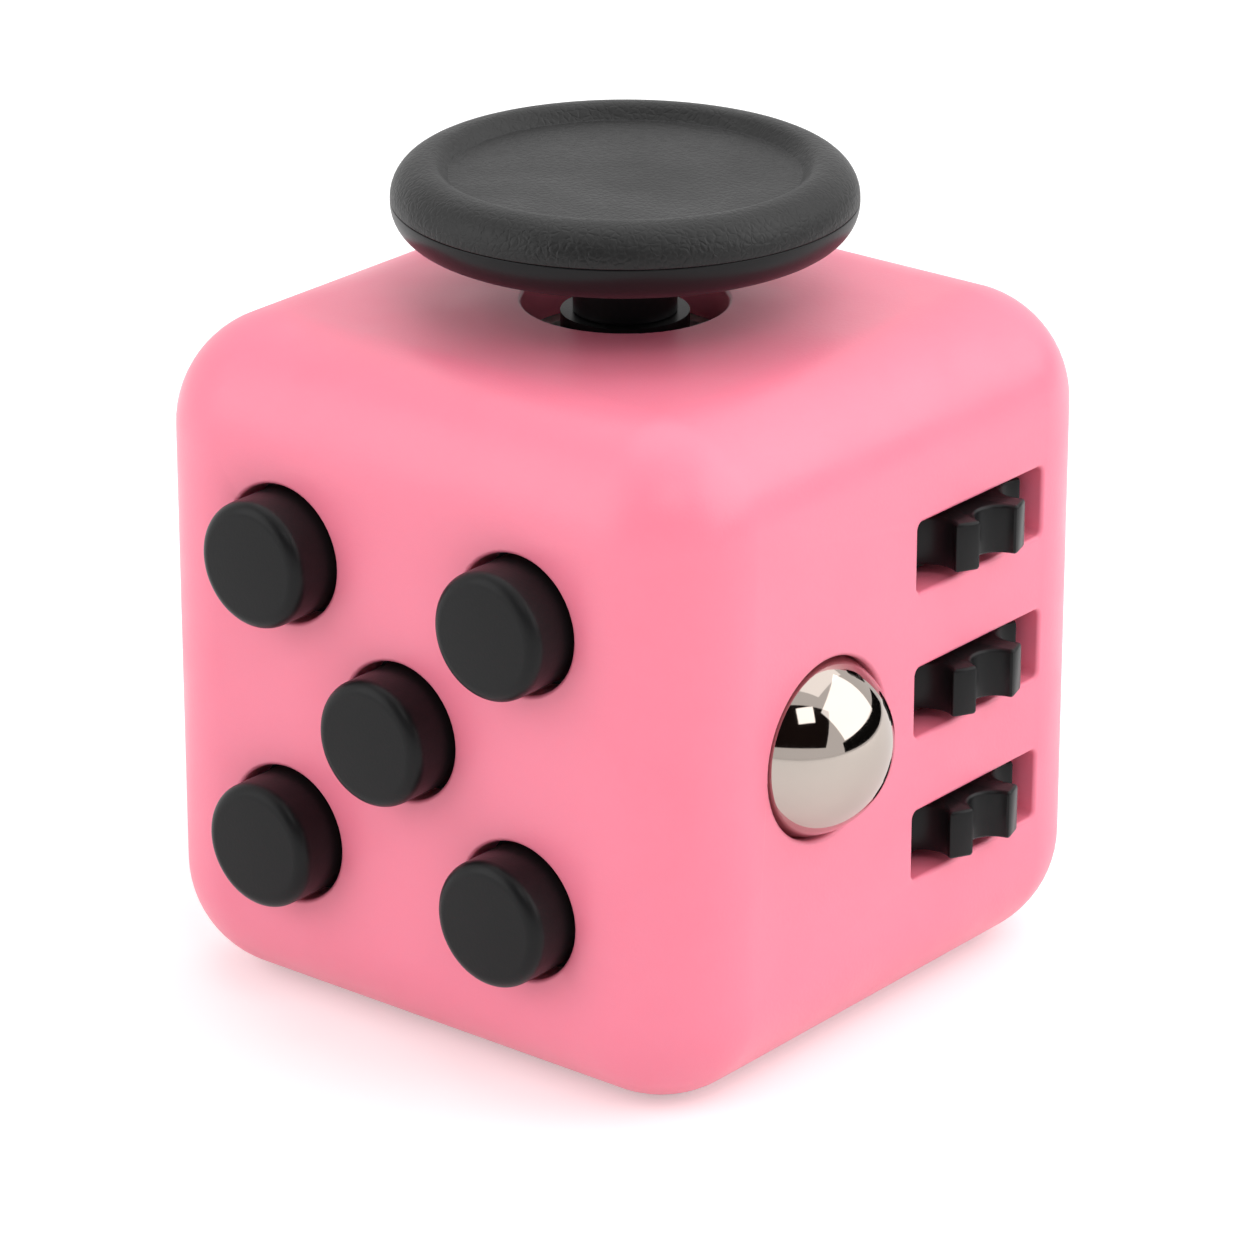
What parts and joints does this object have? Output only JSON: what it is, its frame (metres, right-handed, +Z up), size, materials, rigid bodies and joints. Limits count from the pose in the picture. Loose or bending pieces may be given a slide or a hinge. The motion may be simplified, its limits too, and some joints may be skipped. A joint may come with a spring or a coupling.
{
  "type": "fidget cube",
  "caption": "Hand-held fidget cube with push buttons, rolling ball, toothed wheels, thumb stick, rocker switch, spinning dial and worry dish.",
  "frame": {"origin": "middle of the cube's bottom face", "axes": "+Z up through the thumb stick, -Y out of the button side, +X out of the ball and wheel side"},
  "size_m": [0.0379, 0.0375, 0.0398],
  "materials": {
    "housing_pink": "fine satin",
    "stick_black": "fine grain",
    "button_black": "satin",
    "switch_black": "satin",
    "wheel_black": "satin",
    "inner_white": "as moulded",
    "polished_steel": "mirror polished",
    "plain_steel": "turned",
    "spring_steel": "drawn wire",
    "screw_steel": "zinc plated",
    "washer_nylon": "plain"
  },
  "bodies": {
    "housing": {"main_shell": "housing_pink", "bottom_cover": "housing_pink", "click_domes": "spring_steel", "button_plate": "inner_white", "button_plate_screws": "screw_steel", "side_frame": "inner_white", "side_frame_screws": "screw_steel", "gear_axle": "plain_steel", "ball_spring": "spring_steel", "gimbal_outer_pins": "plain_steel", "stick_housing": "inner_white", "stick_housing_base": "inner_white", "stick_housing_screws": "screw_steel", "stick_spring": "spring_steel", "rocker_pin": "plain_steel", "rocker_cradle": "inner_white", "rocker_cradle_screws": "screw_steel", "rocker_leaf": "spring_steel", "button_spring_upper_left": "spring_steel", "button_spring_upper_right": "spring_steel", "button_spring_centre": "spring_steel", "button_spring_lower_left": "spring_steel", "button_spring_lower_right": "spring_steel"},
    "gimbal": {"gimbal_ring": "plain_steel", "gimbal_inner_pin": "plain_steel"},
    "stick": {"stick_stem": "stick_black", "stick_cap_base": "stick_black", "stick_cap": "stick_black"},
    "button_upper_left_body": {"button_upper_left": "button_black"},
    "button_upper_right_body": {"button_upper_right": "button_black"},
    "button_centre_body": {"button_centre": "button_black"},
    "button_lower_left_body": {"button_lower_left": "button_black"},
    "button_lower_right_body": {"button_lower_right": "button_black"},
    "ball_carrier": {"ball_cup": "inner_white"},
    "ball": {"roller_ball": "polished_steel"},
    "wheel_upper": {"gear_upper": "wheel_black"},
    "wheel_middle": {"gear_middle": "wheel_black"},
    "wheel_lower": {"gear_lower": "wheel_black"},
    "rocker": {"rocker_paddle": "switch_black"},
    "dial": {"dial_disc": "switch_black", "dial_friction_washer": "washer_nylon", "dial_washer": "plain_steel", "dial_screw": "screw_steel"}
  },
  "joints": [
    {"name": "stick_tilt_front_back", "type": "hinge", "parent": "housing", "child": "gimbal", "pos_m": [0, 0, 0.0275], "axis": [1, 0, 0], "range_deg": [-10, 10], "stiffness_Nm_per_rad": 0.05, "deforming": ["stick_spring"]},
    {"name": "stick_tilt_left_right", "type": "hinge", "parent": "gimbal", "child": "stick", "pos_m": [0, 0, 0.0275], "axis": [0, 1, 0], "range_deg": [-10, 10], "stiffness_Nm_per_rad": 0.05, "deforming": ["stick_spring"]},
    {"name": "button_upper_left_press", "type": "slide", "parent": "housing", "child": "button_upper_left_body", "axis": [0, 1, 0], "range_m": [0, 0.0012], "stiffness_N_per_m": 300, "springref_m": -0.002, "deforming": ["button_spring_upper_left"]},
    {"name": "button_upper_right_press", "type": "slide", "parent": "housing", "child": "button_upper_right_body", "axis": [0, 1, 0], "range_m": [0, 0.0012], "stiffness_N_per_m": 300, "springref_m": -0.002, "deforming": ["button_spring_upper_right"]},
    {"name": "button_centre_press", "type": "slide", "parent": "housing", "child": "button_centre_body", "axis": [0, 1, 0], "range_m": [0, 0.0012], "stiffness_N_per_m": 300, "springref_m": -0.002, "deforming": ["button_spring_centre"]},
    {"name": "button_lower_left_press", "type": "slide", "parent": "housing", "child": "button_lower_left_body", "axis": [0, 1, 0], "range_m": [0, 0.0012], "stiffness_N_per_m": 300, "springref_m": -0.002, "deforming": ["button_spring_lower_left"]},
    {"name": "button_lower_right_press", "type": "slide", "parent": "housing", "child": "button_lower_right_body", "axis": [0, 1, 0], "range_m": [0, 0.0012], "stiffness_N_per_m": 300, "springref_m": -0.002, "deforming": ["button_spring_lower_right"]},
    {"name": "ball_press", "type": "slide", "parent": "housing", "child": "ball_carrier", "axis": [-1, 0, 0], "range_m": [0, 0.0008], "stiffness_N_per_m": 500, "springref_m": -0.002, "deforming": ["ball_spring"]},
    {"name": "ball_roll", "type": "hinge", "parent": "ball_carrier", "child": "ball", "pos_m": [0.01477, -0.0058, 0.0165], "axis": [0, 0, 1], "continuous": true},
    {"name": "wheel_upper_spin", "type": "hinge", "parent": "housing", "child": "wheel_upper", "pos_m": [0.01305, 0.0058, 0.0237], "axis": [0, 0, 1], "continuous": true},
    {"name": "wheel_middle_spin", "type": "hinge", "parent": "housing", "child": "wheel_middle", "pos_m": [0.01305, 0.0058, 0.0165], "axis": [0, 0, 1], "continuous": true},
    {"name": "wheel_lower_spin", "type": "hinge", "parent": "housing", "child": "wheel_lower", "pos_m": [0.01305, 0.0058, 0.0093], "axis": [0, 0, 1], "continuous": true},
    {"name": "rocker_flip", "type": "hinge", "parent": "housing", "child": "rocker", "pos_m": [0, 0.013, 0.0165], "axis": [1, 0, 0], "range_deg": [0, 20]},
    {"name": "dial_spin", "type": "hinge", "parent": "housing", "child": "dial", "pos_m": [-0.0165, 0, 0.0165], "axis": [1, 0, 0], "continuous": true}
  ]
}
